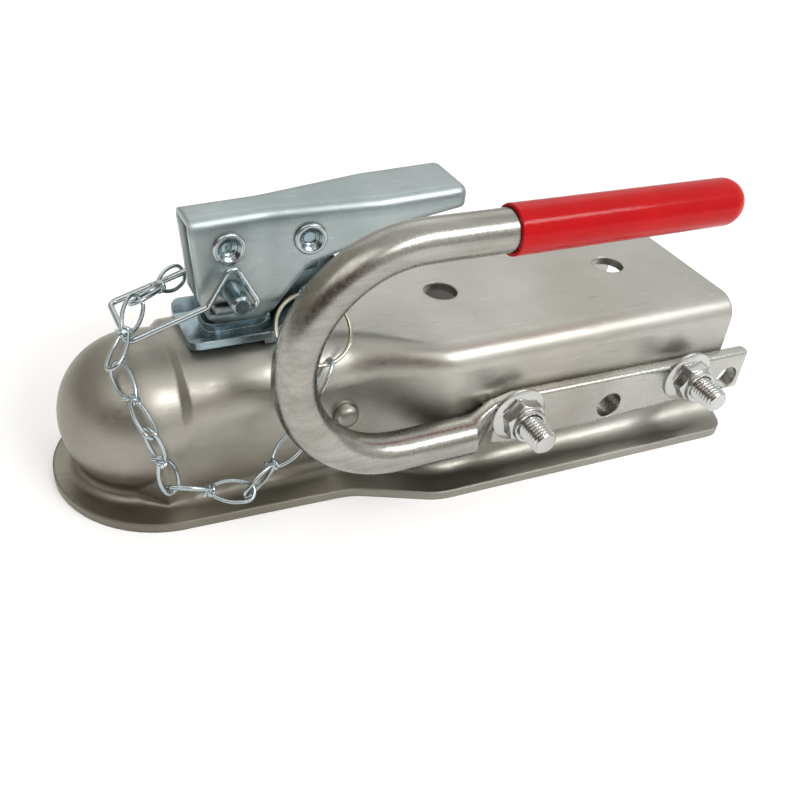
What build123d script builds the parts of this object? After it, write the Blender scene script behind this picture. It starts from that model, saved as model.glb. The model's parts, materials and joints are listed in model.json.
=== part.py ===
"""Straight-tongue trailer coupler with a lever latch, a safety pin on a chain and a bent-rod
lifting handle. Millimetres. The origin is the centre of the ball that the socket takes, +X runs
back along the drawbar, +Z is up and the handle is on the -Y side."""
import os
from math import atan2, cos, degrees, radians, sin, sqrt

from build123d import *

os.makedirs("parts", exist_ok=True)

# Tow ball and pressed body
ball_radius = 25.4
ball_clearance = 0.3
sheet = 3.5
socket_radius = ball_radius + ball_clearance
dome_radius = socket_radius + sheet
base_z = -26.0
neck_top = 29.0
neck_half_width = 27.5
neck_corner = 16.0
ramp_start = -9.0
ramp_half_width = 21.5
dome_end = 8.0
neck_start = 11.0
neck_start_corner = 22.0
neck_end = 62.0
shoulder_valley = 83.0
shoulder_hip = 97.0
shoulder_corner = 12.0
channel_start = 108.0
channel_end = 235.0
channel_half_width = 42.0
channel_top = 30.0
channel_corner = 9.0
dome_fillet = 4.0
neck_fillet = 5.0
tail_fillet = 12.0

# Flange outline
nose_radius = 39.0
nose_x = 6.3
waist_x = 66.0
waist_half_width = 42.0
hip_x = 96.0
hip_half_width = 55.5
tail_half_width = 58.8
kink_round = 26.0
tail_round = 9.0

# Top holes of the channel
top_hole_radius = 6.75
top_hole_x = 118.3
top_hole_spacing = 81.1

# Handle bolts
bolt_radius = 5.0
bolt_hole_radius = 5.6
bolt_x = 130.3
bolt_spacing = 82.5
bolt_z = 1.6
bolt_stick_out = 20.0
thread_chamfer = 1.2
nut_flange_radius = 10.6
nut_flange_height = 1.8
nut_across_flats = 15.0
nut_height = 9.6
head_height = 7.0
nut_turn = 12

# Handle
rod_radius = 7.4
bar_thickness = 6.0
bar_centre_z = -2.2
bar_height_front = 23.4
bar_height_rear = 19.0
bar_front = 116.5
bar_full_height = 129.0
bar_rear = 246.0
bar_corner = 3.0
bar_edge_round = 2.2
bar_blend = 8.0
spare_hole_z = -5.0
spare_hole_first = 175.1
spare_hole_second = 237.0
bend_x = 79.5
handle_top_z = 81.4
grip_front = 110.0
grip_rear = 207.7
grip_wall = 1.1
grip_gap = 0.2

# Lever
lever_sheet = 2.5
lever_front_half = 7.5
lever_rear_half = 12.5
lever_flare_start = 44.0
lever_flare_end = 84.0
lever_front = 16.7
lever_rear = 117.0
lever_front_top = 74.9
lever_rear_top = 79.7
lever_rear_depth = 7.0
lever_bend = 4.0
rivet_radius = 3.0
rivet_head_radius = 5.8
rivet_head_height = 1.4
rivet_recess_radius = 3.4
rivet_recess_depth = 2.2
front_rivet = (29.9, 64.2)
rear_rivet = (58.1, 65.3)
running_gap = 0.1
lever_toe = (19.9, 44.3)
cam_front = (22.9, 37.6)
cam_low = (28.0, 36.2)
cam_rear = (42.0, 35.8)
cam_back = (46.2, 38.4)
skirt_front = (57.8, 55.2)
skirt_rear = (95.2, 69.0)

# Trigger
trigger_thickness = 1.6
trigger_lug_x = 28.6
trigger_lug_z = 41.0
trigger_lug_length = 7.0
trigger_lug_height = 2.6
trigger_lug_reach = 1.1
trigger_play = 1.5
window_gap = 0.3
trigger_pivot_round = 6.0
trigger_heel = (46.0, 50.0)
trigger_knee = (50.0, 44.0)
finger_front = (57.1, 50.5)
finger_rear = (63.1, 51.0)

# Safety pin and bail
pin_radius = 3.5
pin_x = 30.6
pin_z = 48.8
pin_reach = 20.0
pin_head_y = 14.8
pin_head_radius = 5.5
pin_head_height = 4.0
wire_radius = 1.1
bail_half_width = 13.0
bail_corner_x = -6.0
bail_corner_z = 37.5
bail_rise = (0.95, 0.0, 0.31)
bail_kink = ((20.9, 46.6), (29.6, 61.7), (38.9, 45.2), (35.4, 42.6))
bail_bend = 2.4

# Draw rod and clamp
draw_x = 31.0
draw_radius = 4.0
draw_eye_radius = 7.0
draw_thickness = 5.5
draw_neck_half = 2.8
draw_arm = 4.2
draw_neck_bottom = 38.0
draw_hole_gap = 0.6
draw_bottom = -21.0
spring_wire_radius = 0.9
spring_radius = 6.2
spring_turns = 5
clamp_pivot_x = 68.0
clamp_pivot_z = 1.0
clamp_pivot_radius = 4.6
pivot_wall_reach = 3.4
pivot_head_height = 2.2
clamp_boss_radius = 9.0
clamp_half_width = 9.0
clamp_gap = 0.35
clamp_wall = 5.0
clamp_sweep = 64.0
cup_angle = 44.0
arm_top = 4.0
arm_bottom = -9.0
arm_drop = 4.0
pocket_shift = 2.4
pocket_gap = 1.0
nut_play = 1.8
washer_radius = 7.5
washer_thickness = 1.6
locknut_across_flats = 13.0
locknut_height = 6.5

# Saddle plate
saddle_front = 15.0
saddle_rear = 47.0
saddle_half_width = 15.5
saddle_thickness = 3.0
saddle_flat_half = 9.0
saddle_rim_rise = 2.5
saddle_corner = 4.0
saddle_pad_top = 35.0
pad_front = 22.0
pad_half_width = 6.5
tongue_half_width = 14.0
ring_hole = (59.5, -8.6, 43.1)
ring_hole_radius = 3.4
tongue_top_x = 70.0
tongue_top_z = 54.0

# Chain and ring
link_wire_radius = 0.7
link_overlap = 3.8
knot_radius = 1.5
lobe_half_width = 3.4
wire_end_reach = 3.4
upper_joints = ((19.2, 14.0, 45.0), (-0.2, -3.2, 46.7), (-13.1, -23.2, 37.0))
lower_joints = ((58.8, -29.5, 26.6), (45.3, -39.0, 5.3), (25.5, -43.2, -11.3),
                (0.8, -36.2, -7.8), (-5.7, -36.5, 17.4), (-10.3, -13.8, 29.2))
upper_rolls = (0, 30)
lower_rolls = (0, 140, 70, 120, 130)
ring_centre = (57.05, -18.9, 34.9)
ring_normal = (-0.02, -0.622, 0.783)
ring_radius = 13.8
ring_wire_radius = 0.6


def finish(piece, label):
    """Name a finished piece and write it out."""
    piece.part.label = label
    export_step(piece.part, f"parts/{label}.step")


# Coupler body
def rim_section(station, half_width, top, corner, foot_round):
    """Outer section across the pressing, from one edge of the flange over the top to the other."""
    foot = half_width + foot_round
    reach = tail_half_width + sheet
    with BuildSketch(Plane.YZ.offset(station)) as section:
        with BuildLine():
            Polyline((-foot, base_z + sheet), (-reach, base_z + sheet), (-reach, base_z),
                     (reach, base_z), (reach, base_z + sheet), (foot, base_z + sheet))
            for side in (1, -1):
                TangentArc((side * foot, base_z + sheet),
                           (side * half_width, base_z + sheet + foot_round), tangent=(-side, 0))
                Line((side * half_width, base_z + sheet + foot_round),
                     (side * half_width, top - corner))
                TangentArc((side * half_width, top - corner),
                           (side * (half_width - corner), top), tangent=(0, 1))
            Line((half_width - corner, top), (corner - half_width, top))
        make_face()
    return section.sketch


def hollow_section(station, half_width, top, corner, foot_round):
    """Inner section across the pressing, one sheet thickness in from the outer one."""
    half_width, top, corner = half_width - sheet, top - sheet, corner - sheet
    station += 1 if station == channel_end else 0
    with BuildSketch(Plane.YZ.offset(station)) as section:
        with Locations((0, (top + base_z) / 2 - 1)):
            Rectangle(2 * half_width, top - base_z + 2)
        fillet(section.vertices().group_by(Axis.Y)[-1], corner)
    return section.sketch


def run_through(sections):
    """Smooth solid through the sections."""
    with BuildPart() as run:
        add(sections)
        loft()
    return run.part


ramp_stations = (
    (ramp_start, ramp_half_width, ramp_half_width + 3, ramp_half_width - 0.1, dome_fillet),
    (1, dome_radius - 0.1, dome_radius - 0.1, dome_radius - 0.2, dome_fillet / 3),
)
dome_stations = (
    ramp_stations[-1],
    (dome_end, dome_radius - 1.1, dome_radius - 0.6, dome_radius - 1.7, dome_fillet),
)
crease_stations = (
    dome_stations[-1],
    (neck_start, neck_half_width + 0.3, neck_top, neck_start_corner, neck_fillet),
)
neck_stations = (
    crease_stations[-1],
    (neck_end, neck_half_width, neck_top, neck_corner, neck_fillet),
)
flare = channel_half_width - neck_half_width
shoulder_stations = (
    neck_stations[-1],
    (shoulder_valley, neck_half_width + 0.32 * flare, (2 * neck_top + channel_top) / 3,
     shoulder_corner, neck_fillet),
    (shoulder_hip, neck_half_width + 0.84 * flare, (neck_top + 4 * channel_top) / 5,
     channel_corner, neck_fillet + 1),
    (channel_start, channel_half_width, channel_top, channel_corner, neck_fillet + 1),
)
channel_stations = (
    shoulder_stations[-1],
    (channel_end, channel_half_width, channel_top, channel_corner, tail_fillet),
)
pressing = (ramp_stations, dome_stations, crease_stations, neck_stations, shoulder_stations,
            channel_stations)

with BuildPart() as flange_outline:
    with BuildSketch(Plane.XY.offset(base_z)) as outline:
        with BuildLine():
            Polyline((nose_x, -nose_radius), (waist_x, -waist_half_width),
                     (hip_x, -hip_half_width), (channel_end, -tail_half_width),
                     (channel_end, tail_half_width), (hip_x, hip_half_width),
                     (waist_x, waist_half_width), (nose_x, nose_radius), close=True)
        make_face()
        bends = outline.vertices().group_by(Axis.X)
        fillet(bends[1] + bends[2], kink_round)
        fillet(outline.vertices().group_by(Axis.X)[-1], tail_round)
        with Locations((nose_x, 0)):
            Circle(nose_radius)
    extrude(amount=channel_top - base_z)

# The dome carries on below the ball's widest part, then turns out into the flange
lip_z = base_z + sheet + dome_fillet
lip_x = sqrt((dome_radius + dome_fillet) ** 2 - lip_z ** 2)
lip_turn = Vector(lip_z, -lip_x).normalized()


def dome_profile(radius, lip_end):
    """Half section of the ball dome, from its top to the turned-out lip."""
    meet = Vector(lip_x, lip_z) * radius / (dome_radius + dome_fillet)
    RadiusArc((0, radius), (meet.X, meet.Y), radius)
    TangentArc((meet.X, meet.Y), lip_end, tangent=lip_turn)


with BuildPart() as hollow:
    for stations in pressing:
        add(run_through([hollow_section(*station) for station in stations]))
    with BuildSketch(Plane.XZ):
        with BuildLine():
            dome_profile(socket_radius, (lip_x, base_z - 0.3))
            Polyline((lip_x, base_z - 0.3), (lip_x, base_z - 1), (0, base_z - 1),
                     (0, socket_radius))
        make_face()
    revolve(axis=Axis.Z)

with BuildPart() as coupler_body:
    for stations in pressing:
        add(run_through([rim_section(*station) for station in stations]))
    with BuildSketch(Plane.XZ):
        with BuildLine():
            dome_profile(dome_radius, (lip_x, base_z + sheet))
            Polyline((lip_x, base_z + sheet), (nose_radius + nose_x, base_z + sheet),
                     (nose_radius + nose_x, base_z), (0, base_z), (0, dome_radius))
        make_face()
    revolve(axis=Axis.Z)
    add(flange_outline.part, mode=Mode.INTERSECT)
    add(hollow.part, mode=Mode.SUBTRACT)
    with Locations((draw_x, 0, neck_top)):
        Hole(draw_radius + draw_hole_gap, depth=sheet + 1)
    with Locations((top_hole_x, 0, channel_top), (top_hole_x + top_hole_spacing, 0, channel_top)):
        Hole(top_hole_radius, depth=sheet + 1)
    with Locations(Plane.XZ):
        with Locations((bolt_x, bolt_z), (bolt_x + bolt_spacing, bolt_z)):
            Cylinder(bolt_hole_radius, 2 * channel_half_width + 2, mode=Mode.SUBTRACT)
        with Locations((clamp_pivot_x, clamp_pivot_z)):
            Cylinder(clamp_pivot_radius + running_gap, 2 * channel_half_width + 2,
                     mode=Mode.SUBTRACT)
finish(coupler_body, "coupler_body")

# Cross pin that the clamp swings on, its ends upset into low domes outside both walls
pivot_wall = neck_half_width + pivot_wall_reach
with BuildPart() as clamp_pivot_pin:
    with Locations(Plane.XZ.shift_origin((clamp_pivot_x, 0, clamp_pivot_z))):
        Cylinder(clamp_pivot_radius, 2 * pivot_wall)
    fillet(clamp_pivot_pin.edges().filter_by(GeomType.CIRCLE), pivot_head_height)
finish(clamp_pivot_pin, "clamp_pivot_pin")

# Ball clamp
with BuildPart() as ball_clamp:
    with BuildSketch(Plane.XZ) as web:
        with BuildLine():
            Polyline((socket_radius + clamp_gap, arm_top - arm_drop), (draw_x, arm_top),
                     (clamp_pivot_x, clamp_pivot_z + clamp_boss_radius),
                     (clamp_pivot_x, clamp_pivot_z - clamp_boss_radius),
                     (draw_x + 10, arm_bottom), (socket_radius + clamp_gap, arm_bottom),
                     close=True)
        make_face()
        with Locations((clamp_pivot_x, clamp_pivot_z)):
            Circle(clamp_boss_radius)
    extrude(amount=clamp_half_width, both=True)
    with BuildSketch(Plane.XZ) as cup:
        with BuildLine():
            inner = socket_radius + clamp_gap
            outer = inner + clamp_wall
            CenterArc((0, 0), inner, 0, -cup_angle)
            CenterArc((0, 0), outer, 0, -cup_angle)
            Line((inner, 0), (outer, 0))
            Line((inner * cos(radians(cup_angle)), -inner * sin(radians(cup_angle))),
                 (outer * cos(radians(cup_angle)), -outer * sin(radians(cup_angle))))
        make_face()
    revolve(axis=Axis.Z, revolution_arc=clamp_sweep / 2)
    mirror(about=Plane.XZ)
    with Locations((0, 0, 0)):
        Sphere(socket_radius + clamp_gap, mode=Mode.SUBTRACT)
    with BuildSketch(Plane.XY.offset(arm_bottom)):
        with Locations((draw_x + 1, 0)):
            SlotOverall(2 * draw_radius + 5, 2 * draw_radius + 1.4)
    extrude(amount=2 * (arm_top - arm_bottom), mode=Mode.SUBTRACT)
    with BuildSketch(Plane.XY.offset(arm_bottom)):
        with Locations((draw_x - pocket_shift / 2, 0)):
            SlotOverall(2 * (washer_radius + pocket_gap) + pocket_shift,
                        2 * (washer_radius + pocket_gap))
    extrude(amount=2 * base_z, mode=Mode.SUBTRACT)
    with Locations(Plane.XZ.shift_origin((clamp_pivot_x, 0, clamp_pivot_z))):
        Cylinder(clamp_pivot_radius + running_gap, 2 * clamp_half_width + 2, mode=Mode.SUBTRACT)
finish(ball_clamp, "ball_clamp")

# Handle: a round rod bent back over itself, its lower end pressed flat and drilled
rod_y = -channel_half_width - rod_radius
bend_radius = (handle_top_z - bar_centre_z) / 2
grip_radius = rod_radius + grip_gap + grip_wall
rod_end = grip_rear - grip_radius
bar_top_front = bar_centre_z + bar_height_front / 2
bar_bottom_front = bar_centre_z - bar_height_front / 2
bar_holes = ((bolt_x, bolt_z), (bolt_x + bolt_spacing, bolt_z),
             (spare_hole_first, spare_hole_z), (spare_hole_second, spare_hole_z))

# The rod's pressed-flat end keeps rounded long edges
with BuildPart() as flat_bar:
    with BuildSketch(Plane.XZ.offset(channel_half_width)) as bar:
        with BuildLine():
            Polyline((bar_front, bar_bottom_front + bar_corner),
                     (bar_front, bar_top_front - bar_corner),
                     (bar_full_height, bar_top_front),
                     (bar_rear, bar_centre_z + bar_height_rear / 2),
                     (bar_rear, bar_centre_z - bar_height_rear / 2),
                     (bar_full_height, bar_bottom_front), close=True)
        make_face()
        fillet(bar.vertices().group_by(Axis.X)[-1], bar_corner / 2)
    extrude(amount=bar_thickness)
    sloping = flat_bar.edges().filter_by(Axis.Z, reverse=True).filter_by(Axis.Y, reverse=True)
    fillet(sloping.filter_by(lambda edge: edge.length > bar_thickness), bar_edge_round)

with BuildPart() as handle_rod:
    with BuildLine() as rod_path:
        Line((bar_front - bar_blend, rod_y, bar_centre_z), (bend_x, rod_y, bar_centre_z))
        ThreePointArc((bend_x, rod_y, bar_centre_z),
                      (bend_x - bend_radius, rod_y, bar_centre_z + bend_radius),
                      (bend_x, rod_y, handle_top_z))
        Line((bend_x, rod_y, handle_top_z), (rod_end - grip_gap, rod_y, handle_top_z))
    with BuildSketch(Plane((bar_front - bar_blend, rod_y, bar_centre_z), z_dir=(-1, 0, 0))):
        Circle(rod_radius)
    sweep()
    with BuildSketch(Plane.YZ.offset(bar_front - bar_blend)):
        with Locations((rod_y, bar_centre_z)):
            Circle(rod_radius)
    with BuildSketch(Plane.YZ.offset(bar_front + bar_blend / 2)):
        with Locations((-channel_half_width - bar_thickness / 2, bar_centre_z)):
            RectangleRounded(bar_thickness, bar_height_front - bar_corner, bar_edge_round)
    loft()
    add(flat_bar.part)
    with Locations(Plane.XZ.offset(channel_half_width)):
        with Locations(*bar_holes):
            Cylinder(bolt_hole_radius, 3 * bar_thickness, mode=Mode.SUBTRACT)
finish(handle_rod, "handle_rod")

# Dipped vinyl grip with a round closed end
with BuildPart() as handle_grip:
    with Locations(Location((grip_front, rod_y, handle_top_z), (0, 90, 0))):
        Cylinder(grip_radius, grip_rear - grip_front,
                 align=(Align.CENTER, Align.CENTER, Align.MIN))
        Cylinder(rod_radius + grip_gap, rod_end - grip_front,
                 align=(Align.CENTER, Align.CENTER, Align.MIN), mode=Mode.SUBTRACT)
    fillet(handle_grip.faces().sort_by(Axis.X)[-1].edges(), grip_radius - running_gap)
    fillet(handle_grip.faces().sort_by(Axis.X)[0].edges().sort_by(SortBy.LENGTH)[-1], grip_wall / 2)
finish(handle_grip, "handle_grip")

# Bolts through both walls, heads on the far side, nuts on the handle side
bar_face = -channel_half_width - bar_thickness
bolt_end = bar_face - bolt_stick_out
bolt_spots = ((bolt_x, bolt_z), (bolt_x + bolt_spacing, bolt_z))
with BuildPart() as side_bolts:
    with BuildSketch(Plane.XZ.offset(-bolt_end)):
        with Locations(*bolt_spots):
            Circle(bolt_radius)
    extrude(amount=-(channel_half_width - bolt_end))
    chamfer(side_bolts.faces().sort_by(Axis.Y)[0:2].edges(), thread_chamfer)
    with BuildSketch(Plane.XZ.offset(-channel_half_width)):
        with Locations(*bolt_spots):
            Circle(nut_flange_radius)
    extrude(amount=-nut_flange_height)
    with BuildSketch(Plane.XZ.offset(-channel_half_width - nut_flange_height)):
        with Locations(*bolt_spots):
            RegularPolygon(nut_across_flats / 2, 6, major_radius=False)
    extrude(amount=-(head_height - nut_flange_height))
    fillet(side_bolts.faces().sort_by(Axis.Y)[-2:].edges(), 1)
finish(side_bolts, "side_bolts")

with BuildPart() as flange_nuts:
    for spot in bolt_spots:
        with Locations(Location((spot[0], bar_face, spot[1]), (90, 0, 0))):
            Cylinder(nut_flange_radius, nut_flange_height / 2,
                     align=(Align.CENTER, Align.CENTER, Align.MIN))
            with Locations((0, 0, nut_flange_height / 2)):
                Cone(nut_flange_radius, nut_across_flats / 2, 1.6 * nut_flange_height,
                     align=(Align.CENTER, Align.CENTER, Align.MIN))
    with BuildSketch(Plane.XZ.offset(-bar_face)):
        with Locations(*bolt_spots):
            RegularPolygon(nut_across_flats / 2, 6, rotation=nut_turn, major_radius=False)
    extrude(amount=nut_height)
    chamfer(flange_nuts.faces().sort_by(Axis.Y)[0:2].edges(), 0.6)
    with BuildSketch(Plane.XZ.offset(-bar_face)):
        with Locations(*bolt_spots):
            Circle(bolt_radius + running_gap / 2)
    extrude(amount=nut_height, mode=Mode.SUBTRACT)
finish(flange_nuts, "flange_nuts")

# Saddle plate under the lever: a dished tray with a pad in it and a sloping tongue behind
def saddle_tray(bottom):
    """Block whose front and sides lean outwards, its flat bottom at the given height."""
    lean = (saddle_half_width - saddle_flat_half) / saddle_rim_rise
    rise = 3 * saddle_rim_rise
    with BuildPart() as block:
        for climb in (0, rise):
            spread = climb * lean
            front = saddle_front - 1
            with BuildSketch(Plane.XY.offset(bottom + climb)):
                with Locations(((front + tongue_top_x) / 2, 0)):
                    Rectangle(tongue_top_x - front, 2 * (saddle_flat_half + spread))
        loft()
    return block.part


with BuildPart() as saddle_plate:
    with BuildSketch(Plane.XY.offset(neck_top)):
        with Locations(((saddle_front + saddle_rear) / 2, 0)):
            RectangleRounded(saddle_rear - saddle_front, 2 * saddle_half_width, saddle_corner)
    extrude(amount=saddle_rim_rise + saddle_thickness)
    add(saddle_tray(neck_top), mode=Mode.INTERSECT)
    add(saddle_tray(neck_top + saddle_thickness), mode=Mode.SUBTRACT)
    with BuildSketch(Plane.XY.offset(neck_top + saddle_thickness - running_gap)):
        with Locations(((pad_front + saddle_rear) / 2, 0)):
            RectangleRounded(saddle_rear - pad_front, 2 * pad_half_width, saddle_corner)
    extrude(amount=saddle_pad_top - neck_top - saddle_thickness + running_gap)
    with BuildSketch(Plane.XZ):
        with BuildLine():
            Polyline((saddle_rear - 6, neck_top), (saddle_rear, neck_top),
                     (tongue_top_x + 2, tongue_top_z - 2), (tongue_top_x, tongue_top_z),
                     (saddle_rear - 3, neck_top + saddle_thickness + 1.5),
                     (saddle_rear - 6, neck_top + saddle_thickness), close=True)
        make_face()
    extrude(amount=tongue_half_width, both=True)
    with Locations((draw_x, 0, saddle_pad_top)):
        Hole(draw_radius + draw_hole_gap, depth=saddle_pad_top - neck_top + 1)
    slope = atan2(tongue_top_z - neck_top, tongue_top_x - saddle_rear)
    with Locations(Location(ring_hole, (0, 90 + 90 - degrees(slope), 0))):
        Cylinder(ring_hole_radius, 4 * saddle_thickness, mode=Mode.SUBTRACT)
finish(saddle_plate, "saddle_plate")


# Latch lever
def lever_plan(inset, front, rear):
    """Plan outline of the lever, narrow at the front and flared to the rear."""
    with BuildSketch(Plane.XY.offset(base_z)) as plan:
        with BuildLine():
            Polyline((front, inset - lever_front_half),
                     (lever_flare_start, inset - lever_front_half),
                     (lever_flare_end, inset - lever_rear_half), (rear, inset - lever_rear_half),
                     (rear, lever_rear_half - inset), (lever_flare_end, lever_rear_half - inset),
                     (lever_flare_start, lever_front_half - inset),
                     (front, lever_front_half - inset), close=True)
        make_face()
        fillet(plan.vertices().group_by(Axis.X)[1] + plan.vertices().group_by(Axis.X)[2], 30)
    return plan.sketch


def along_y(x, z):
    """Place on the XZ plane at a point, facing the handle side."""
    return Location((x, 0, z), (90, 0, 0))


lever_tilt = (lever_rear_top - lever_front_top) / (lever_rear - lever_front)


def lever_block(inset, front, rear):
    """Solid inside the lever's plan outline, up to its sloping top."""
    with BuildPart() as block:
        add(lever_plan(inset, front, rear))
        extrude(amount=lever_rear_top + sheet - base_z)
        split(bisect_by=Plane((lever_front, 0, lever_front_top - inset),
                              z_dir=(-lever_tilt, 0, 1)), keep=Keep.BOTTOM)
    return block.part


with BuildPart() as latch_lever:
    add(lever_block(0, lever_front, lever_rear))
    fillet(latch_lever.edges().group_by(Axis.X)[-1].filter_by(Axis.Z), lever_bend)
    top_edges = latch_lever.faces().sort_by(Axis.Z)[-1].edges()
    fillet(top_edges.sort_by(Axis.X)[1:], lever_bend - 0.5)
    with BuildSketch(Plane.XZ) as side:
        with BuildLine():
            Polyline((lever_front, lever_rear_top + 1), (lever_front, lever_front_top - lever_bend),
                     lever_toe, cam_front, cam_low, cam_rear, cam_back, skirt_front, skirt_rear,
                     (lever_rear + 1, lever_rear_top - lever_rear_depth),
                     (lever_rear + 1, lever_rear_top + 1), close=True)
        make_face()
        fillet(side.vertices().filter_by_position(Axis.Y, cam_rear[1] - 1, cam_back[1] + 0.1), 3)
        fillet(side.vertices().filter_by_position(Axis.Y, skirt_front[1] - 1, skirt_rear[1] + 1), 9)
    extrude(amount=lever_rear_half + 1, both=True, mode=Mode.INTERSECT)
    add(lever_block(lever_sheet, lever_front - 1, lever_rear + 1), mode=Mode.SUBTRACT)
    with Locations(along_y(*front_rivet), along_y(*rear_rivet)):
        Cylinder(rivet_radius + running_gap / 2, 2 * lever_rear_half, mode=Mode.SUBTRACT)
    with Locations(along_y(pin_x, pin_z)):
        Cylinder(pin_radius + running_gap, 2 * lever_rear_half, mode=Mode.SUBTRACT)
    with Locations((trigger_lug_x - trigger_play / 2, -lever_front_half,
                    trigger_lug_z + trigger_play / 2)):
        Box(trigger_lug_length + trigger_play + 2 * window_gap, 3 * lever_sheet,
            trigger_lug_height + trigger_play + 2 * window_gap, mode=Mode.SUBTRACT)
finish(latch_lever, "latch_lever")


def rivet(place, wall):
    """Tubular rivet across the lever, with a rolled head and a cone in each end."""
    with BuildPart() as piece:
        with Locations(along_y(*place)):
            Cylinder(rivet_radius, 2 * wall)
            for turn in (0, 180):
                with Locations(Location((0, 0, 0), (turn, 0, 0))):
                    with Locations((0, 0, wall)):
                        Cylinder(rivet_head_radius, rivet_head_height,
                                 align=(Align.CENTER, Align.CENTER, Align.MIN))
        fillet(piece.faces().sort_by(Axis.Y)[0].edges(), rivet_head_height / 2)
        fillet(piece.faces().sort_by(Axis.Y)[-1].edges(), rivet_head_height / 2)
        with Locations(along_y(*place)):
            for turn in (0, 180):
                with Locations(Location((0, 0, 0), (turn, 0, 0))):
                    with Locations((0, 0, wall + rivet_head_height)):
                        Cone(rivet_recess_radius / 2, rivet_recess_radius, rivet_recess_depth,
                             align=(Align.CENTER, Align.CENTER, Align.MAX), mode=Mode.SUBTRACT)
    return piece


flare_slope = (lever_rear_half - lever_front_half) / (lever_flare_end - lever_flare_start)
rear_rivet_wall = lever_front_half + running_gap + flare_slope * (
    rear_rivet[0] + rivet_head_radius - lever_flare_start)
finish(rivet(front_rivet, lever_front_half), "front_rivet")
finish(rivet(rear_rivet, rear_rivet_wall), "rear_rivet")

# Trigger on the rear rivet, its front lug showing in the window of the near wall
trigger_y = -lever_front_half + lever_sheet + window_gap
arm_above = trigger_lug_z + trigger_lug_height / 2
arm_below = trigger_lug_z - trigger_lug_height / 2
lug_front = trigger_lug_x - trigger_lug_length / 2
with BuildPart() as trigger:
    with BuildSketch(Plane.XZ.offset(-trigger_y)):
        with Locations(rear_rivet):
            Circle(trigger_pivot_round)
        with BuildLine():
            Polyline((rear_rivet[0] - trigger_pivot_round, rear_rivet[1]), trigger_heel,
                     (trigger_heel[0], arm_above), (lug_front, arm_above),
                     (lug_front, arm_below), (trigger_heel[0] - 1, arm_below), trigger_knee,
                     finger_front, finger_rear,
                     (rear_rivet[0] + trigger_pivot_round, rear_rivet[1]), close=True)
        make_face()
    extrude(amount=-trigger_thickness)
    with BuildSketch(Plane.XZ.offset(-trigger_y)):
        with Locations((trigger_lug_x, trigger_lug_z)):
            Rectangle(trigger_lug_length, trigger_lug_height)
    extrude(amount=lever_sheet + trigger_lug_reach)
    with Locations(along_y(*rear_rivet)):
        Cylinder(rivet_radius + running_gap, 4 * lever_rear_half, mode=Mode.SUBTRACT)
finish(trigger, "trigger")

# Safety pin through the lever
with BuildPart() as safety_pin:
    with Locations(Location((pin_x, -pin_reach, pin_z), (-90, 0, 0))):
        Cylinder(pin_radius, pin_reach + pin_head_y,
                 align=(Align.CENTER, Align.CENTER, Align.MIN))
    chamfer(safety_pin.faces().sort_by(Axis.Y)[0].edges(), 0.8)
    with Locations(Location((pin_x, pin_head_y, pin_z), (-90, 0, 0))):
        Cylinder(pin_head_radius, pin_head_height, align=(Align.CENTER, Align.CENTER, Align.MIN))
    fillet(safety_pin.faces().sort_by(Axis.Y)[-1].edges(), 1.2)
finish(safety_pin, "safety_pin")

# Wire bail: an eye round the far end of the pin, a long bow, and a kinked loop at the near end
eye_radius = pin_radius + wire_radius + 0.3
with BuildPart() as pin_bail:
    with BuildLine() as bow:
        FilletPolyline((pin_x - eye_radius, bail_half_width, pin_z - 1),
                       (bail_corner_x, bail_half_width, bail_corner_z),
                       (bail_corner_x, -bail_half_width, bail_corner_z),
                       *[(x, -bail_half_width, z) for x, z in bail_kink], radius=bail_bend)
    with BuildSketch(Plane(bow.wires()[0] @ 0, z_dir=bow.wires()[0] % 0)):
        Circle(wire_radius)
    sweep()
    with Locations(Location((pin_x, bail_half_width, pin_z), (90, 0, 0))):
        Torus(eye_radius, wire_radius)
finish(pin_bail, "pin_bail")

# Draw rod: an eye on the front rivet, a throat for the safety pin and a round shank
throat = pin_radius + 0.6
with BuildPart() as draw_rod:
    with BuildSketch(Plane.XZ):
        with Locations(front_rivet):
            Circle(draw_eye_radius)
        with BuildLine():
            Polyline((front_rivet[0] - draw_eye_radius, front_rivet[1]),
                     (pin_x - throat - draw_arm, pin_z + draw_arm),
                     (pin_x - throat - draw_arm, pin_z - draw_arm),
                     (draw_x - draw_neck_half, pin_z - throat - draw_arm),
                     (draw_x - draw_neck_half, draw_neck_bottom - 1),
                     (draw_x + draw_neck_half, draw_neck_bottom - 1),
                     (draw_x + draw_neck_half, pin_z - throat), (pin_x, pin_z - throat),
                     (pin_x - throat, pin_z), (pin_x - throat + 1, pin_z + throat + 2),
                     (front_rivet[0], front_rivet[1]), close=True)
        make_face()
        with Locations((pin_x, pin_z)):
            Circle(throat, mode=Mode.SUBTRACT)
        with Locations(front_rivet):
            Circle(rivet_radius + running_gap, mode=Mode.SUBTRACT)
    extrude(amount=draw_thickness / 2, both=True)
    with Locations((draw_x, 0, draw_neck_bottom)):
        Cylinder(draw_radius, draw_neck_bottom - draw_bottom,
                 align=(Align.CENTER, Align.CENTER, Align.MAX))
    chamfer(draw_rod.faces().sort_by(Axis.Z)[0].edges(), 0.8)
finish(draw_rod, "draw_rod")

# Spring, washer and locknut on the draw rod
with BuildPart() as clamp_spring:
    spring_top = neck_top - sheet - spring_wire_radius
    spring_bottom = arm_top + 1.6 + spring_wire_radius
    with BuildLine(Plane((draw_x, 0, spring_bottom))) as coil:
        Helix((spring_top - spring_bottom) / spring_turns, spring_top - spring_bottom,
              spring_radius)
    with BuildSketch(Plane(coil.wires()[0] @ 0, z_dir=coil.wires()[0] % 0)):
        Circle(spring_wire_radius)
    sweep()
finish(clamp_spring, "clamp_spring")

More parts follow.
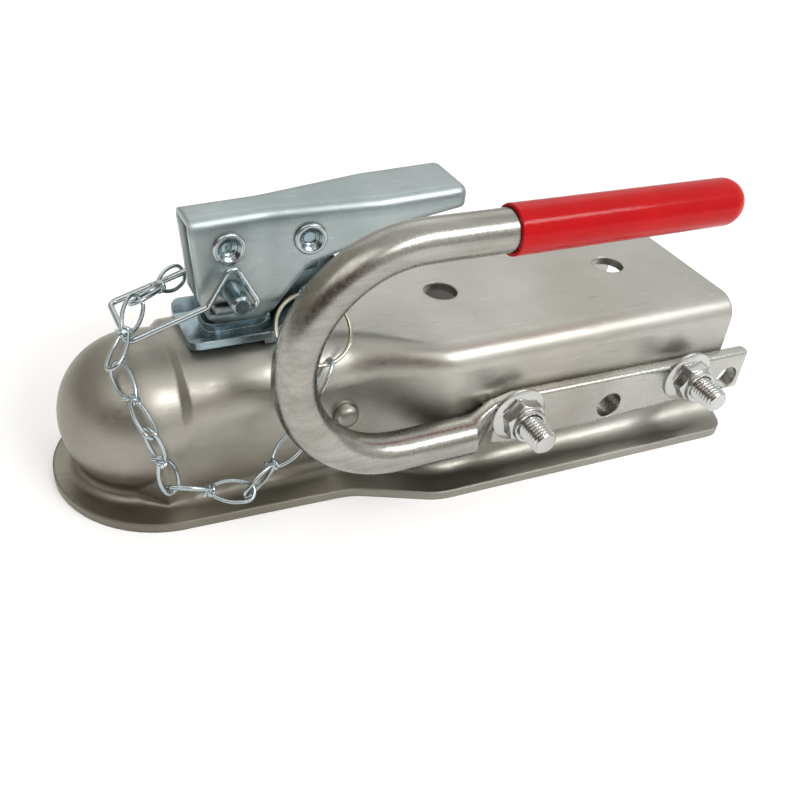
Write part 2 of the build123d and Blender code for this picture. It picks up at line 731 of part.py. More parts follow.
nut_top = arm_bottom - nut_play
with BuildPart() as draw_washer:
    with Locations((draw_x, 0, nut_top)):
        Cylinder(washer_radius, washer_thickness, align=(Align.CENTER, Align.CENTER, Align.MAX))
        Cylinder(draw_radius + running_gap, 3 * washer_thickness, mode=Mode.SUBTRACT)
finish(draw_washer, "draw_washer")

with BuildPart() as draw_locknut:
    with BuildSketch(Plane.XY.offset(nut_top - washer_thickness)):
        with Locations((draw_x, 0)):
            RegularPolygon(locknut_across_flats / 2, 6, major_radius=False)
            Circle(draw_radius + running_gap / 2, mode=Mode.SUBTRACT)
    extrude(amount=-locknut_height)
finish(draw_locknut, "draw_locknut")


# Chain of knotted wire links: two wire lobes a quarter turn apart, tied in the middle
def chain_link(length):
    """One link centred on the origin along X, its lobes reaching just past both joints."""
    tip = (length + link_overlap) / 2
    wire, half = link_wire_radius, lobe_half_width
    with BuildPart() as piece:
        with Locations(Location((0, 0, 0), (0, 90, 0))):
            Cylinder(knot_radius, 2.6 * wire)
        for side in (1, -1):
            with Locations(Location((side * wire, 0, 0), (0, 90, 0))):
                Torus(knot_radius, wire)
            with Locations(Location((side * wire, 0, 0), (-side * 50, 20, 0))):
                Cylinder(wire, wire_end_reach, align=(Align.CENTER, Align.CENTER, Align.MIN))
        for plane, side in ((Plane.XY, 1), (Plane.XZ, -1)):
            with BuildLine(plane) as lobe:
                Spline((-side * wire, -wire), (side * 0.25 * tip, -0.9 * half),
                       (side * (tip - half), -half), (side * (tip - 0.29 * half), -0.71 * half),
                       (side * tip, 0), (side * (tip - 0.29 * half), 0.71 * half),
                       (side * (tip - half), half), (side * 0.25 * tip, 0.9 * half),
                       (-side * wire, wire))
            with BuildSketch(Plane(lobe.wires()[0].position_at(0),
                                   z_dir=lobe.wires()[0].tangent_at(0))):
                Circle(wire)
            sweep(path=lobe.wires()[0])
    return piece.part


def chain(joints, rolls, hooked, label):
    """Run of separate linked links from a hook, whose wire runs in the hooked direction."""
    joints = [Vector(joint) for joint in joints]
    with BuildPart() as run:
        for start, end, roll in zip(joints, joints[1:], rolls):
            forward = (end - start).normalized()
            middle = Plane((start + end) / 2, x_dir=forward, z_dir=forward.cross(hooked))
            with Locations(middle.location * Location((0, 0, 0), (roll, 0, 0))):
                add(chain_link((end - start).length))
    finish(run, label)


chain(upper_joints, upper_rolls, Vector(bail_rise), "chain_upper_links")
chain(lower_joints, lower_rolls, Vector(1, 0, 0), "chain_lower_links")

# Split ring through the corner of the saddle plate
with BuildPart() as split_ring:
    with Locations(Plane(ring_centre, z_dir=ring_normal).location):
        Torus(ring_radius, ring_wire_radius)
finish(split_ring, "split_ring")
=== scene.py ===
"""Dresses the ball coupler's CAD frame with finished metal, vinyl and thread detail."""
import json
import math

import bpy
import bmesh
import numpy as np
from mathutils import Matrix, Vector


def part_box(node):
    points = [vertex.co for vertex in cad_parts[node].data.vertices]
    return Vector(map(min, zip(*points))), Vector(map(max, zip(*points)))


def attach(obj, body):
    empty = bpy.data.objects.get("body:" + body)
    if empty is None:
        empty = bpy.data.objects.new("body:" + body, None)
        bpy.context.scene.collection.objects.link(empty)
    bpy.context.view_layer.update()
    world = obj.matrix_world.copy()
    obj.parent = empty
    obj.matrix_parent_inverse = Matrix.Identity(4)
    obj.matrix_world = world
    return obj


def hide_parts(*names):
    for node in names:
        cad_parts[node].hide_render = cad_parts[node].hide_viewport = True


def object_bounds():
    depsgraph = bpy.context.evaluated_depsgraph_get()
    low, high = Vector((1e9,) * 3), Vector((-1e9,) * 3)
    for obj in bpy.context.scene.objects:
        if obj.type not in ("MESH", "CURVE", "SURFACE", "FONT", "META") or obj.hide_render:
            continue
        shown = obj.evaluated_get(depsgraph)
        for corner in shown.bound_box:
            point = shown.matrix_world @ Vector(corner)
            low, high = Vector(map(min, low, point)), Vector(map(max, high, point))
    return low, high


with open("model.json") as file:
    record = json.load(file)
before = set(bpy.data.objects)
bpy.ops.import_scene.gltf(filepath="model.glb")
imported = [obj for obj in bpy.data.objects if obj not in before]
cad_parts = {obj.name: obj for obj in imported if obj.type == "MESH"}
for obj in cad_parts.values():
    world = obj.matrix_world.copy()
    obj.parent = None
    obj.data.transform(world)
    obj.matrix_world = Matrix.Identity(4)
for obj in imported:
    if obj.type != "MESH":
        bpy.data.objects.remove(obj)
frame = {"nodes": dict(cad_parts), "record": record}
nodes = frame["nodes"]
cad_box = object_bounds()
scene = bpy.context.scene

# Camera, fitted to the photograph: metres, degrees and millimetres of lens
CAMERA_PLACE = (-0.06085, -0.28647, 0.21806)
CAMERA_HEADING = 59.7441
CAMERA_TILT = -35.7051
CAMERA_ROLL = 7.1754
CAMERA_LENS = 44.1
CAMERA_SENSOR = 36.0

# Places where a finish or its painted shade changes, metres
BODY_SHADE_START_X = 0.13
BODY_SHADE_FULL_X = 0.0
BODY_NECK_X = 0.07
BODY_LOW_SHADE_START_Z = 0.012
BODY_LOW_SHADE_FULL_Z = -0.022
LEVER_BEND_Z = 0.0708
LEVER_BEND_SLOPE = 0.048
LEVER_SHADE_ABOVE = 0.0014
LEVER_SHADE_BELOW = 0.0035
ROD_FLAT_X = 0.125
ROD_ROUND_X = 0.112

# Where the reflected room has its dark patch, seen from the object
DARK_PATCH = (-0.52, -0.80, 0.30)

# Floor, metres
FLOOR_Z = cad_box[0][2]
FLOOR_REACH = 6.0

# How fine the marks in the plating are, in waves to the metre
CLOUDS = 22.0
BLOTS = 9.0
PITS = 420.0
SPECKS = 2600.0
DRAWN_MARKS = 700
SCRATCHES = (70, 1500, 1500)

# Millimetres in a metre, for the turned detail
MM_PER_METRE = 1000.0

# Nuts and bolts: millimetres, and degrees that the hexagons are turned
NUT_ROUND = 144
NUT_LAYER = 0.15
HEX_FLATS = 15.0
HEX_WORN = 1.135
HEX_TOP_RADIUS = 7.2
HEX_BEVEL = 1.6
RIM_ROUND = 0.5
RIM_HEIGHT = 1.1
CONE_SLOPE = 2.4
CAD_FLANGE = 10.6
NUT_FLANGE = 11.3
NUT_COLLAR = 2.3
COLLAR_RADIUS = 5.6
COLLAR_SWELL = 1.2
COLLAR_SHOULDER = 0.9
COLLAR_ROUND = 1.3
NUT_TURNS = (14.0, -4.0)
HEAD_HEIGHT = 7.0
HEAD_TURN = 8.0
BOLT_RADIUS = 4.95
THREAD_LENGTH = 18.0
THREAD_PITCH = 1.5
THREAD_DEPTH = 0.85
THREAD_LEAD = 0.2
THREAD_LAYERS = 14.0
TIP_RADIUS = 3.75
TIP_SLOPE = 1.05
HEAD_SINK = 0.2

# Rivets and ring, millimetres
RIVET_ROUND = 96
RIVET_HEAD_RADIUS = 5.8
RIVET_HEAD_HEIGHT = 1.4
RIVET_TUBE_RADIUS = 2.9
RIVET_TUBE_INSET = 1.5
LEVER_FLARE = 0.125
RING_ROUND = 128
RING_WIRE_ROUND = 16
RING_WIRE_RADIUS = 0.8
RING_INSET = 0.05
RING_FACING = (-0.02, -0.622, 0.783)

# Edges that turn by more than this many radians stay crisp
CREASE = 0.7


# Camera at the photograph's angle
def make_camera():
    """Camera headed from +X towards +Y, tilted from level and rolled about its own line."""
    camera = bpy.data.objects.new("camera", bpy.data.cameras.new("camera"))
    scene.collection.objects.link(camera)
    heading = Matrix.Rotation(math.radians(CAMERA_HEADING - 90.0), 4, "Z")
    tilt = Matrix.Rotation(math.radians(CAMERA_TILT + 90.0), 4, "X")
    roll = Matrix.Rotation(math.radians(CAMERA_ROLL), 4, "Z")
    camera.matrix_world = Matrix.Translation(CAMERA_PLACE) @ heading @ tilt @ roll
    camera.data.sensor_width = CAMERA_SENSOR
    camera.data.lens = CAMERA_LENS
    camera.data.clip_start = 0.01
    scene.camera = camera


# Node trees
class Nodes:
    """A node tree under construction."""

    def __init__(self, tree):
        self.tree = tree

    def node(self, kind, inputs=None, **settings):
        """A node with its settings, its inputs set or linked."""
        made = self.tree.nodes.new("ShaderNode" + kind)
        for key, value in settings.items():
            setattr(made, key, value)
        for key, value in (inputs or {}).items():
            self.put(made.inputs[key], value)
        return made

    def put(self, socket, value):
        """Link a socket to another one, or set its value."""
        if isinstance(value, bpy.types.NodeSocket):
            self.tree.links.new(value, socket)
        else:
            socket.default_value = value

    def span(self, value, low, high, to_low=0.0, to_high=1.0):
        """A value's range stretched to another range, clamped."""
        return self.node("MapRange", {"Value": value, "From Min": low, "From Max": high,
                                      "To Min": to_low, "To Max": to_high}).outputs[0]

    def plus(self, a, b):
        """Sum of two values."""
        return self.node("Math", {0: a, 1: b}, operation="ADD").outputs[0]

    def minus(self, a, b):
        """One value less another."""
        return self.node("Math", {0: a, 1: b}, operation="SUBTRACT").outputs[0]

    def times(self, a, b):
        """Product of two values."""
        return self.node("Math", {0: a, 1: b}, operation="MULTIPLY").outputs[0]

    def dot(self, a, b):
        """Dot product of two directions."""
        return self.node("VectorMath", {0: a, 1: b}, operation="DOT_PRODUCT").outputs["Value"]

    def blend(self, factor, a, b, mode="MIX"):
        """Mix of two colours."""
        mixer = self.node("Mix", data_type="RGBA", blend_type=mode)
        for name, value in (("Factor", factor), ("A", a), ("B", b)):
            ends = [end for end in mixer.inputs if end.name == name and end.enabled]
            self.put(ends[0], value)
        return [end for end in mixer.outputs if end.enabled][0]

    def ramp(self, value, stops):
        """Colour looked up along stops: each a position and a colour."""
        made = self.node("ValToRGB", {0: value})
        marks = made.color_ramp.elements
        for count, (at, *tint) in enumerate(stops):
            mark = marks[count] if count < 2 else marks.new(at)
            mark.position = at
            mark.color = (*tint, 1)
        return made.outputs[0]


class Shader(Nodes):
    """A node material under construction."""

    def __init__(self, name):
        self.material = bpy.data.materials.new(name)
        self.material.use_nodes = True
        super().__init__(self.material.node_tree)
        self.bsdf = self.tree.nodes["Principled BSDF"]
        self.place = self.node("TexCoord").outputs["Object"]

    def axes(self):
        """Object coordinates, one output for each axis."""
        return self.node("SeparateXYZ", {"Vector": self.place}).outputs

    def stretched(self, scale, turn=(0, 0, 0)):
        """Object coordinates scaled differently along each axis."""
        return self.node("Mapping", {"Vector": self.place, "Scale": scale,
                                     "Rotation": turn}).outputs[0]

    def noise(self, scale, detail=4.0, rough=0.55, place=None):
        """Noise value from 0 to 1."""
        return self.node("TexNoise", {"Vector": place or self.place, "Scale": scale,
                                      "Detail": detail, "Roughness": rough}).outputs[0]

    def bump(self, height, strength, distance, normal):
        """A normal with bumps on it."""
        return self.node("Bump", {"Height": height, "Strength": strength,
                                  "Distance": distance, "Normal": normal}).outputs[0]

    def rounded(self, radius):
        """Normal that softens hard edges over a radius."""
        return self.node("Bevel", {"Radius": radius}, samples=6).outputs[0]

    def feed(self, **links):
        """Set or link the shader's own sockets."""
        for key, value in links.items():
            self.put(self.bsdf.inputs[key.replace("_", " ")], value)
        return self.material


# Zinc-plated steel
def scratched(steel, tone, amount):
    """Two sets of fine straight scratches, bright ones one way and dark ones another."""
    for turn, shade in (((0.3, 0.5, 0.8), (0.75, 0.75, 0.74, 1)),
                        ((0.1, 0.2, -0.35), (0.17, 0.16, 0.15, 1))):
        scratch = steel.noise(1.0, 2.0, 0.5, steel.stretched(SCRATCHES, turn))
        line = steel.times(steel.span(scratch, 0.715, 0.74), amount)
        tone = steel.blend(line, tone, shade)
    return tone


def worn_edges(steel, soft, blot, wear):
    """How worn the steel is: where its softened normal leaves the flat one, in patches."""
    flat = steel.node("NewGeometry").outputs["Normal"]
    edge = steel.span(steel.dot(soft, flat), 0.99, 0.85)
    return steel.times(edge, steel.span(blot, 0.35, 0.6, 0.3, wear))


def plated_steel(name, dark, light, stain, rough, grain=0.12, edge=0.0005, draw=(1, 1, 1),
                 scuffs=0.5, wear=0.3):
    """Zinc-plated steel and its tone: cloudy, grained, scratched, stained, worn at its edges.

    grain is the strength of its bumps, edge the radius of its softened edges in metres, draw
    how fine the drawing marks are along each axis, scuffs the strength of scratches and pits,
    and wear that of the bright worn edges."""
    steel = Shader(name)
    cloud = steel.noise(CLOUDS, 5.0)
    blot = steel.noise(BLOTS, 6.0, 0.62)
    speck = steel.noise(SPECKS, 3.0, 0.7)
    pit = steel.span(steel.noise(PITS, 3.0, 0.7), 0.70, 0.78)
    marks = steel.noise(1.0, 5.0, 0.6, steel.stretched(tuple(v * DRAWN_MARKS for v in draw)))
    soft = steel.rounded(edge)
    tone = steel.blend(steel.span(cloud, 0.35, 0.68), dark, light)
    tone = steel.blend(steel.span(speck, 0.3, 0.75, 0.0, 0.22), tone, (0.16, 0.15, 0.14, 1))
    tone = steel.blend(steel.span(blot, 0.55, 0.72, 0.0, 0.55), tone, stain)
    tone = scratched(steel, tone, scuffs)
    tone = steel.blend(steel.times(pit, scuffs), tone, (0.12, 0.11, 0.10, 1))
    tone = steel.blend(worn_edges(steel, soft, blot, wear), tone, (0.66, 0.64, 0.60, 1))
    shine = steel.plus(steel.span(marks, 0.25, 0.75, rough - 0.07, rough + 0.08),
                       steel.span(cloud, 0.3, 0.7, 0.04, -0.04))
    height = steel.plus(steel.times(speck, 0.35), steel.minus(marks, pit))
    normal = steel.bump(height, strength=grain, distance=0.0004, normal=soft)
    steel.feed(Metallic=1.0, Roughness=shine, Normal=normal)
    return steel, tone


def plated(name, **finish):
    """Plated steel with nothing more on it."""
    steel, tone = plated_steel(name, **finish)
    return steel.feed(Base_Color=tone)


def pressed_body(name):
    """The pressed shell: pale at the drawbar end; painted shade, browner and darker, towards the
    dome and low down.
    """
    steel, tone = plated_steel(name, dark=(0.45, 0.445, 0.41, 1), light=(0.53, 0.525, 0.49, 1),
                               stain=(0.40, 0.375, 0.325, 1), rough=0.42, grain=0.08,
                               edge=0.0014, draw=(0.2, 1, 1))
    place = steel.axes()
    drift = steel.span(steel.noise(14.0, 3.0), 0.3, 0.7, -0.02, 0.02)
    # Painted shade: the shell turns browner and darker towards the dome, for the dim room it
    # reflects.
    dome = steel.span(steel.plus(place["X"], drift), BODY_SHADE_START_X, BODY_SHADE_FULL_X)
    tone = steel.blend(steel.times(dome, 0.6), tone, (0.27, 0.25, 0.205, 1))
    # Painted shade low down, strongest under the dome and weaker past the neck, for the dark
    # floor it reflects.
    low = steel.span(steel.plus(place["Z"], drift), BODY_LOW_SHADE_START_Z, BODY_LOW_SHADE_FULL_Z)
    strength = steel.span(place["X"], BODY_SHADE_FULL_X, BODY_NECK_X, 0.85, 0.5)
    tone = steel.blend(steel.times(low, strength), tone, (0.17, 0.155, 0.125, 1))
    return steel.feed(Base_Color=tone)


def pressed_lever(name):
    """The pressed lever, with a soft line of painted shade along the lower edge of its side
    bends.
    """
    steel, tone = plated_steel(name, dark=(0.34, 0.40, 0.405, 1), light=(0.48, 0.535, 0.54, 1),
                               stain=(0.25, 0.34, 0.38, 1), rough=0.38, grain=0.08,
                               edge=0.0028, draw=(0.2, 1, 1))
    place = steel.axes()
    # Painted shade: a soft dark line just under the lever's side bends, where the bend
    # overhangs.
    bend = steel.plus(steel.times(place["X"], LEVER_BEND_SLOPE), LEVER_BEND_Z)
    below = steel.minus(bend, place["Z"])
    rise = steel.span(below, -LEVER_SHADE_ABOVE, 0.0, 0.0, 0.5)
    shade_fall = steel.span(below, LEVER_SHADE_BELOW, 0.0)
    tone = steel.blend(steel.times(rise, shade_fall), tone, (0.12, 0.16, 0.18, 1))
    return steel.feed(Base_Color=tone)


def bent_rod(name, **finish):
    """The handle's rod: painted dark reflection streaks where it is round, and none where it is
    pressed flat.
    """
    steel, tone = plated_steel(name, **finish)
    # Painted reflection: dark streaks along the round rod, for the dark room it reflects.
    reflection_streak_noise = steel.noise(1.0, 3.0, 0.6, steel.stretched((40, 400, 400)))
    painted_reflection_streak = steel.span(reflection_streak_noise, 0.3, 0.7, 0.3, 0.75)
    round_part = steel.span(steel.axes()["X"], ROD_FLAT_X, ROD_ROUND_X)
    tone = steel.blend(steel.times(round_part, painted_reflection_streak), tone, (0.22, 0.21, 0.185, 1))
    return steel.feed(Base_Color=tone)


# Vinyl
def dipped_vinyl(name):
    """Gloss red vinyl with a slightly wavy dipped skin."""
    vinyl = Shader(name)
    flow = vinyl.span(vinyl.noise(60.0, 3.0), 0.3, 0.7)
    tone = vinyl.blend(flow, (0.42, 0.003, 0.005, 1), (0.49, 0.005, 0.007, 1))
    dust = vinyl.noise(1500.0, 2.0, 0.6)
    shine = vinyl.span(dust, 0.3, 0.8, 0.10, 0.24)
    wave = vinyl.plus(vinyl.noise(170.0, 2.0), vinyl.times(dust, 0.08))
    normal = vinyl.bump(wave, strength=0.2, distance=0.0005, normal=vinyl.rounded(0.0004))
    return vinyl.feed(Base_Color=tone, Roughness=shine, Normal=normal, Specular_IOR_Level=0.15)


def make_materials():
    """All finishes by name, the record's slots among them."""
    bright = {"dark": (0.40, 0.40, 0.375, 1), "light": (0.55, 0.55, 0.52, 1),
              "stain": (0.32, 0.29, 0.24, 1), "rough": 0.26, "grain": 0.02, "scuffs": 0.3,
              "edge": 0.0009}
    return {
        "zinc_body": pressed_body("zinc_body"),
        "zinc_lever": pressed_lever("zinc_lever"),
        "rod_zinc": bent_rod("rod_zinc", **bright),
        "rivet_zinc": plated("rivet_zinc", dark=(0.42, 0.46, 0.47, 1),
                             light=(0.56, 0.60, 0.61, 1), stain=(0.34, 0.36, 0.37, 1),
                             rough=0.24, grain=0.05, edge=0.0001),
        # Darker blue zinc: on the saddle plate its dark tone is partly plating and partly
        # painted shade for the tray's shaded inside.
        "blue_zinc": plated("blue_zinc", dark=(0.22, 0.31, 0.35, 1),
                            light=(0.36, 0.45, 0.48, 1), stain=(0.14, 0.23, 0.29, 1),
                            rough=0.22, grain=0.06, wear=0.9),
        "wire_zinc": plated("wire_zinc", dark=(0.40, 0.46, 0.48, 1),
                            light=(0.58, 0.64, 0.66, 1), stain=(0.30, 0.38, 0.42, 1),
                            rough=0.20, grain=0.04, edge=0.0001, scuffs=0.1),
        "bright_zinc": plated("bright_zinc", **bright),
        "bright_bolt": plated("bright_bolt", dark=(0.50, 0.51, 0.50, 1),
                              light=(0.66, 0.67, 0.66, 1), stain=(0.36, 0.33, 0.29, 1),
                              rough=0.20, grain=0.05, edge=0.0002),
        "yellow_zinc": plated("yellow_zinc", dark=(0.50, 0.46, 0.37, 1),
                              light=(0.66, 0.62, 0.52, 1), stain=(0.42, 0.35, 0.24, 1),
                              rough=0.2, grain=0.04, edge=0.0001),
        "spring_steel": plated("spring_steel", dark=(0.20, 0.20, 0.21, 1),
                               light=(0.32, 0.32, 0.33, 1), stain=(0.15, 0.13, 0.11, 1),
                               rough=0.32),
        "cast_jaw": plated("cast_jaw", dark=(0.14, 0.14, 0.14, 1),
                           light=(0.24, 0.24, 0.24, 1), stain=(0.16, 0.13, 0.10, 1),
                           rough=0.55, grain=0.5),
        "red_vinyl": dipped_vinyl("red_vinyl"),
    }


def dress(materials):
    """Give each CAD node its finish: its own one here, or else its record slot's."""
    # The saddle plate's darker blue zinc is partly painted shade for its shaded inside.
    own = {"handle_rod": "rod_zinc", "saddle_plate": "blue_zinc", "safety_pin": "blue_zinc",
           "pin_bail": "wire_zinc", "chain_upper_links": "wire_zinc",
           "chain_lower_links": "wire_zinc"}
    for part in frame["record"]["subparts"]:
        piece = nodes[part["node"]]
        finish = own.get(part["node"], part["material_slot"])
        piece.data.materials.clear()
        piece.data.materials.append(materials[finish])


# Meshes
def box_mm(node):
    """Lowest and highest corner of a CAD node, in millimetres."""
    return [[value * MM_PER_METRE for value in corner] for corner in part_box(node)]


def smooth_piece(name, mesh):
    """Object of a mesh with smooth shading and crisp hard edges."""
    mesh.shade_smooth()
    mesh.set_sharp_from_angle(angle=CREASE)
    piece = bpy.data.objects.new(name, mesh)
    scene.collection.objects.link(piece)
    return piece


def turned(name, rings, spots, flip=False):
    """Solid of revolution about the Y axis at each spot; a ring is a depth and its radii in mm.

    Depths run towards -Y, or towards +Y if it is flipped."""
    count = len(rings[0][1])
    side = -1.0 if flip else 1.0
    angles = np.linspace(0.0, 2.0 * math.pi, count, endpoint=False)
    points = []
    faces = []
    for x, y, z in spots:
        first = len(points)
        last = first + (len(rings) - 1) * count
        for depth, radii in rings:
            for angle, radius in zip(angles, radii):
                points.append(((x + radius * math.cos(angle)) / MM_PER_METRE,
                               (y - side * depth) / MM_PER_METRE,
                               (z + side * radius * math.sin(angle)) / MM_PER_METRE))
        for low in range(first, last, count):
            high = low + count
            for here in range(count):
                after = (here + 1) % count
                faces.append((low + here, low + after, high + after, high + here))
        faces.append(tuple(first + step for step in reversed(range(count))))
        faces.append(tuple(last + step for step in range(count)))
    mesh = bpy.data.meshes.new(name)
    mesh.from_pydata(points, [], faces)
    return smooth_piece(name, mesh)


def joined(name, pieces):
    """One object from several."""
    model = bmesh.new()
    for piece in pieces:
        model.from_mesh(piece.data)
        bpy.data.objects.remove(piece)
    bmesh.ops.recalc_face_normals(model, faces=model.faces)
    mesh = bpy.data.meshes.new(name)
    model.to_mesh(mesh)
    model.free()
    return smooth_piece(name, mesh)


# Fasteners
def ring_steps(start, end, step):
    """Evenly spaced depths, both ends included."""
    return np.linspace(start, end, max(2, int(round(abs(end - start) / step)) + 1))


def hex_radii(turn):
    """Radii of a hexagon with slightly worn corners, turned by degrees."""
    angles = np.linspace(0.0, 360.0, NUT_ROUND, endpoint=False)
    off = np.radians(np.mod(angles + turn, 60.0) - 30.0)
    return np.minimum(HEX_FLATS / 2.0 / np.cos(off), HEX_FLATS / 2.0 * HEX_WORN)


def flange_radius(depth, rim):
    """Radius of a flange: a rounded rim at its foot and a cone above it."""
    above = depth - RIM_HEIGHT
    if above > 0.0:
        return rim - CONE_SLOPE * above - 0.5 * above ** 2
    return rim - 0.35 * max(0.0, RIM_ROUND - depth) ** 2


def flange_nut_rings(turn, height, collar, rim):
    """Hex with a wide coned flange below, a chamfered top and a round collar above it."""
    flats = hex_radii(turn)
    rings = []
    for depth in ring_steps(0.0, height, NUT_LAYER):
        bevel = HEX_TOP_RADIUS + HEX_BEVEL * (height - collar - depth)
        hexagon = np.minimum(flats, max(bevel, 0.0))
        over = max(0.0, (depth - height + COLLAR_SHOULDER) / COLLAR_ROUND)
        dome = math.sqrt(max(0.0, 1.0 - over ** 2))
        round_collar = COLLAR_RADIUS + COLLAR_SWELL * dome if collar else 0.0
        wide = np.maximum(hexagon, flange_radius(depth, rim))
        rings.append((depth, np.maximum(wide, round_collar)))
    dish = ((0.1, 5.55), (0.9, 4.9)) if collar else ((-0.001, 6.9), (0.25, 6.2))
    return rings + [(height - drop, np.full(NUT_ROUND, radius)) for drop, radius in dish]


def thread_rings(start, end):
    """Rolled screw thread with a chamfered end."""
    turn = np.linspace(0.0, 1.0, NUT_ROUND, endpoint=False)
    rings = []
    for place in ring_steps(start, end, THREAD_PITCH / THREAD_LAYERS):
        phase = np.mod(place / THREAD_PITCH - turn, 1.0)
        groove = np.clip(1.25 - 2.6 * np.abs(phase - 0.5), 0.0, 1.0)
        fade = min(1.0, (place - start) / THREAD_PITCH)
        crest = BOLT_RADIUS - THREAD_DEPTH * groove * fade
        chamfer = TIP_RADIUS + TIP_SLOPE * (end - place)
        rings.append((place, np.minimum(crest, chamfer)))
    return rings


def make_fasteners(materials):
    """Threaded bolts with flange heads on the far side and collared flange nuts on the bar."""
    low, high = box_mm("side_bolts")
    nut_end, nut_seat = (corner[1] for corner in box_mm("flange_nuts"))
    z = (low[2] + high[2]) / 2.0
    places = (low[0] + CAD_FLANGE, high[0] - CAD_FLANGE)
    head_seat = high[1] - HEAD_HEIGHT
    thread_start = -low[1] - THREAD_LENGTH
    shank = [(depth, np.full(NUT_ROUND, BOLT_RADIUS))
             for depth in (-head_seat - HEAD_SINK, thread_start - THREAD_LEAD)]
    shanks = turned("bolt_shanks", shank + thread_rings(thread_start, -low[1]),
                    [(x, 0.0, z) for x in places])
    heads = turned("bolt_heads", flange_nut_rings(HEAD_TURN, HEAD_HEIGHT, 0.0, CAD_FLANGE),
                   [(x, head_seat, z) for x in places], flip=True)
    bolts = joined("threaded_bolts", [shanks, heads])
    nuts = [turned("nut_" + str(count),
                   flange_nut_rings(turn, nut_seat - nut_end, NUT_COLLAR, NUT_FLANGE),
                   [(x, nut_seat, z)])
            for count, (x, turn) in enumerate(zip(places, NUT_TURNS))]
    nuts = joined("collared_nuts", nuts)
    for piece, node in ((bolts, "side_bolts"), (nuts, "flange_nuts")):
        piece.data.materials.append(materials["bright_bolt"])
        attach(piece, "coupler")
        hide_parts(node)


# Rivets
def rivet_head(name, place, side, flare, finishes):
    """Rolled rim round a dish, leaned with the lever's wall; the dish has the second finish."""
    rim = ((RIVET_TUBE_RADIUS, -1.6), (2.95, 0.0), (5.1, 0.0), (5.55, 0.12),
           (RIVET_HEAD_RADIUS, 0.5), (5.72, 0.95), (5.4, 1.28), (4.95, RIVET_HEAD_HEIGHT),
           (4.5, 1.34), (4.1, 1.1))
    dish = ((3.75, 0.75), (3.4, 0.5), (3.05, 0.25), (2.8, -0.3), (2.4, -0.75), (1.7, -1.0),
            (0.9, -1.05), (0.05, -1.0))
    rings = [(height, np.full(RIVET_ROUND, radius)) for radius, height in rim + dish]
    head = turned(name, rings, [place], flip=side > 0.0)
    foot = Matrix.Translation((place[0] / MM_PER_METRE, place[1] / MM_PER_METRE, 0.0))
    lean = Matrix.Rotation(side * math.atan(flare), 4, "Z")
    head.data.transform(foot @ lean @ foot.inverted())
    for finish in finishes:
        head.data.materials.append(finish)
    for face in head.data.polygons[(len(rim) - 1) * RIVET_ROUND:-2]:
        face.material_index = 1
    head.data.polygons[-1].material_index = 1
    return head


def make_rivets(materials):
    """Tubular rivets with rolled rims and a coned recess."""
    finishes = (materials["rivet_zinc"], materials["blue_zinc"])
    for node, name, flare in (("front_rivet", "front_tube_rivet", 0.0),
                              ("rear_rivet", "rear_tube_rivet", LEVER_FLARE)):
        low, high = box_mm(node)
        x, z = ((low[axis] + high[axis]) / 2.0 for axis in (0, 2))
        wall = high[1] - RIVET_HEAD_HEIGHT - flare * RIVET_HEAD_RADIUS
        near, far = (rivet_head(name + end, (x, side * wall, z), side, flare, finishes)
                     for end, side in (("_near", -1.0), ("_far", 1.0)))
        reach = wall - RIVET_TUBE_INSET
        tube = turned(name + "_tube", [(depth, np.full(RIVET_ROUND, RIVET_TUBE_RADIUS))
                                       for depth in (-reach, reach)], [(x, 0.0, z)])
        piece = joined(name, [near, far, tube])
        for finish in finishes:
            piece.data.materials.append(finish)
        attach(piece, "lever")
        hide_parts(node)


# Ring
def make_ring(materials):
    """Closed wire ring in the split ring's place, of stouter wire."""
    low, high = (Vector(corner) for corner in box_mm("split_ring"))
    centre = (low + high) / 2.0
    normal = Vector(RING_FACING).normalized()
    across = Vector((1.0, 0.0, 0.0)).cross(normal).normalized()
    along = normal.cross(across)
    reach = (high.x - low.x) / 2.0 - RING_WIRE_RADIUS - RING_INSET
    points = []
    faces = []
    for turn in np.linspace(0.0, 2.0 * math.pi, RING_ROUND, endpoint=False):
        out = across * math.cos(turn) + along * math.sin(turn)
        for angle in np.linspace(0.0, 2.0 * math.pi, RING_WIRE_ROUND, endpoint=False):
            spread = out * (reach + RING_WIRE_RADIUS * math.cos(angle))
            rise = normal * RING_WIRE_RADIUS * math.sin(angle)
            points.append((centre + spread + rise) / MM_PER_METRE)
    for row in range(RING_ROUND):
        here = row * RING_WIRE_ROUND
        after = (row + 1) % RING_ROUND * RING_WIRE_ROUND
        for step in range(RING_WIRE_ROUND):
            beside = (step + 1) % RING_WIRE_ROUND
            faces.append((here + step, here + beside, after + beside, after + step))
    mesh = bpy.data.meshes.new("wire_ring")
    mesh.from_pydata(points, [], faces)
    piece = smooth_piece("wire_ring", mesh)
    piece.data.materials.append(materials["yellow_zinc"])
    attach(piece, "coupler")
    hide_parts("split_ring")


# Studio
def make_floor():
    """Pale floor that glows a little, so that it stays white."""
    mesh = bpy.data.meshes.new("floor")
    corners = [(x * FLOOR_REACH, y * FLOOR_REACH, FLOOR_Z)
               for x, y in ((-1, -1), (1, -1), (1, 1), (-1, 1))]
    mesh.from_pydata(corners, [], [(0, 1, 2, 3)])
    floor = bpy.data.objects.new("floor", mesh)
    scene.collection.objects.link(floor)
    paper = Shader("paper")
    tone = paper.blend(paper.span(paper.noise(3.0), 0.3, 0.7), (0.86, 0.86, 0.86, 1),
                       (0.89, 0.89, 0.89, 1))
    mesh.materials.append(paper.feed(Base_Color=tone, Roughness=0.9,
                                     Emission_Color=(1, 1, 1, 1), Emission_Strength=0.2))


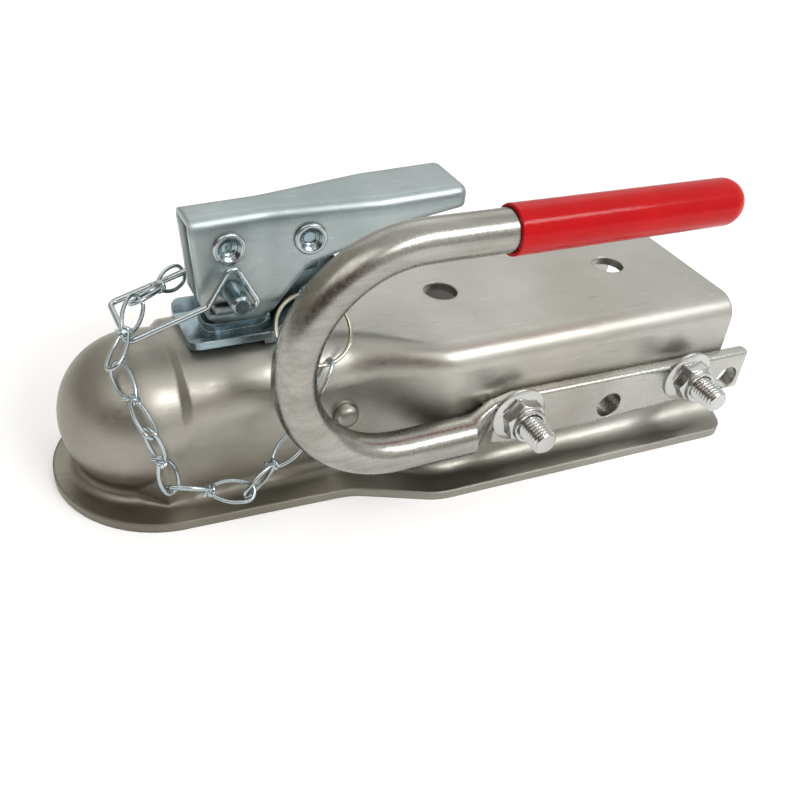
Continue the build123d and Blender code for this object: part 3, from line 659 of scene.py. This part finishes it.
def make_world():
    """Room that the metal reflects: bright above, dim on the left, a dark patch in front."""
    world = bpy.data.worlds.new("studio")
    scene.world = world
    world.use_nodes = True
    sky = Nodes(world.node_tree)
    aim = sky.node("TexCoord").outputs["Generated"]
    axes = sky.node("SeparateXYZ", {"Vector": aim}).outputs
    room = sky.ramp(axes["Z"], ((0.0, 0.60, 0.59, 0.57), (0.25, 0.74, 0.735, 0.72),
                                (0.6, 0.96, 0.96, 0.95), (1.0, 1.0, 1.0, 1.0)))
    toward_patch = sky.dot(aim, DARK_PATCH)
    patch = sky.ramp(toward_patch,
                     ((0.72, 1.0, 1.0, 1.0), (0.84, 0.55, 0.48, 0.44), (0.93, 0.22, 0.15, 0.12)))
    side = sky.ramp(sky.span(axes["X"], -1.0, 1.0),
                    ((0.0, 0.42, 0.39, 0.34), (0.30, 0.60, 0.57, 0.52),
                     (0.55, 0.98, 0.98, 0.97), (1.0, 1.0, 1.0, 1.0)))
    for layer in (patch, side):
        room = sky.blend(1.0, room, layer, "MULTIPLY")
    background = sky.tree.nodes["Background"].inputs
    sky.put(background["Color"], room)
    sky.put(background["Strength"], 1.0)


def area_light(name, place, target, size, power):
    """Soft rectangular light aimed at a point: metres and watts."""
    lamp = bpy.data.lights.new(name, "AREA")
    lamp.shape = "RECTANGLE"
    lamp.size, lamp.size_y = size
    lamp.energy = power
    made = bpy.data.objects.new(name, lamp)
    scene.collection.objects.link(made)
    made.location = place
    made.rotation_euler = (Vector(target) - Vector(place)).to_track_quat("-Z", "Y").to_euler()


def make_studio():
    """Pale floor, pale surroundings and soft lights."""
    make_floor()
    make_world()
    area_light("softbox", place=(0.66, -1.0, 1.05), target=(0.08, 0, 0.03), size=(1.0, 0.26),
               power=11)
    area_light("back", place=(0.5, 1.1, 1.2), target=(0.08, 0, 0), size=(1.6, 0.8), power=1.8)
    area_light("front", place=(-0.8, -0.7, 1.5), target=(0.05, 0, 0), size=(1.4, 0.9), power=7)
    scene.view_settings.view_transform = "Standard"


make_camera()
materials = make_materials()
dress(materials)
make_fasteners(materials)
make_rivets(materials)
make_ring(materials)
make_studio()
